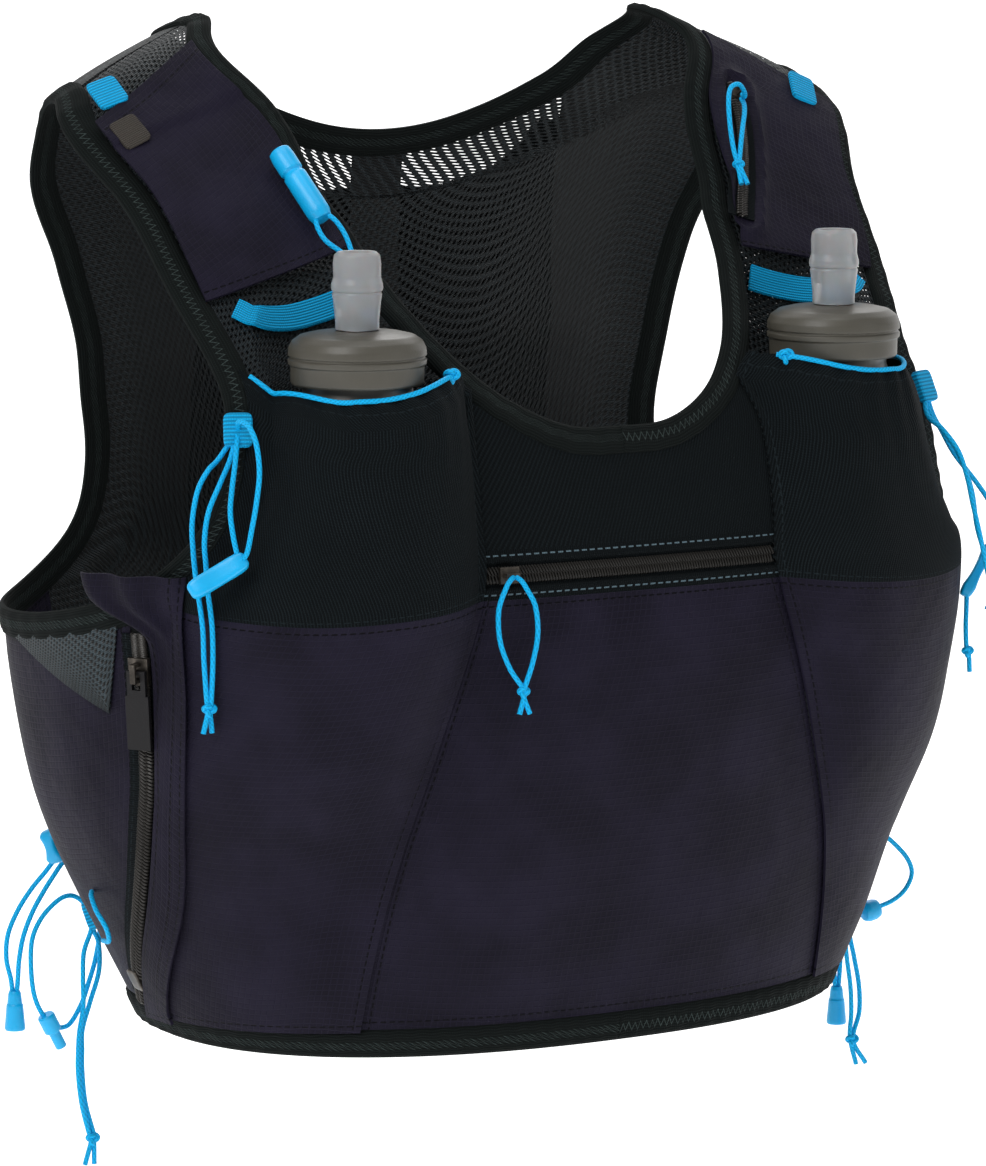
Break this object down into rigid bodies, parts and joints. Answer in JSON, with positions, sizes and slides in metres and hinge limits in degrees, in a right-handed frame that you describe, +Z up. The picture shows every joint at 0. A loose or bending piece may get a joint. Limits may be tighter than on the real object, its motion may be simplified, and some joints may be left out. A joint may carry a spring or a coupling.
{
  "type": "running hydration vest",
  "caption": "Close-fitting running vest with mesh back, stretch chest pockets holding soft flasks, zipped aubergine pouches, elastic bindings, a side zip and blue shock-cord trims.",
  "frame": {"origin": "midpoint between the inner ends of the two shoulder ridges, where the vest rests on its wearer", "axes": "+X towards the wearer's left, -Y towards the wearer's front, +Z up"},
  "size_m": [0.3833, 0.2271, 0.4431],
  "materials": {
    "mesh": "black open warp-knit mesh",
    "stretch": "black fine-ribbed stretch cloth",
    "ripstop": "dark aubergine ripstop, softly creased",
    "binding": "black elastic binding with zigzag stitching",
    "blue": "bright blue cord, webbing and moulded trims",
    "zip": "bronze-black coil on black tape",
    "metal": "dark bronze lacquer",
    "tab": "dark grey moulded pull",
    "flask": "olive soft film",
    "cap": "grey-olive moulded cap",
    "valve": "translucent greyish white silicone",
    "label": "blank woven grey tab"
  },
  "bodies": {
    "vest": {"shoulder_strap_left": "mesh", "shoulder_strap_right": "mesh", "back_panel": "mesh", "front_yoke": "stretch", "bottle_pocket_left": "stretch", "bottle_pocket_right": "stretch", "back_pocket": "stretch", "shoulder_pocket_left": "stretch", "centre_pouch": "ripstop", "side_pocket_left": "ripstop", "side_pocket_right": "ripstop", "side_panel_left": "ripstop", "side_panel_right": "ripstop", "shoulder_pouch_right": "ripstop", "zip_placket": "ripstop", "neck_binding": "binding", "arm_binding_left": "binding", "arm_binding_right": "binding", "hem_binding": "binding", "front_zip": "zip", "side_zip": "zip", "shoulder_zip": "zip", "front_zip_slider": "metal", "side_zip_slider": "metal", "shoulder_zip_slider": "metal", "flask_left": "flask", "flask_cap_left": "cap", "bite_valve_left": "valve", "bottle_band_left": "blue", "webbing_loop_left": "blue", "chest_tab_left": "blue", "chest_cord_left": "blue", "chest_hook_left": "blue", "hem_tab_left": "blue", "hem_cord_left": "blue", "hem_toggle_left": "blue", "cinch_lock_left": "blue", "cinch_cord_left": "blue", "flask_right": "flask", "flask_cap_right": "cap", "bite_valve_right": "valve", "bottle_band_right": "blue", "webbing_loop_right": "blue", "chest_tab_right": "blue", "chest_cord_right": "blue", "chest_hook_right": "blue", "hem_tab_right": "blue", "hem_cord_right": "blue", "hem_toggle_right": "blue", "cinch_lock_right": "blue", "cinch_cord_right": "blue", "size_label": "label", "front_zip_pull": "blue", "shoulder_zip_pull": "blue", "half_ring_cord": "blue", "whistle": "blue"},
    "zip_tab": {"side_zip_tab": "tab"}
  },
  "joints": [
    {"name": "tab_hinge", "type": "hinge", "parent": "vest", "child": "zip_tab", "pos_m": [-0.17618, -0.10329, -0.22931], "axis": [-0.5487, 0.836, 0], "range_deg": [0, 150]}
  ]
}
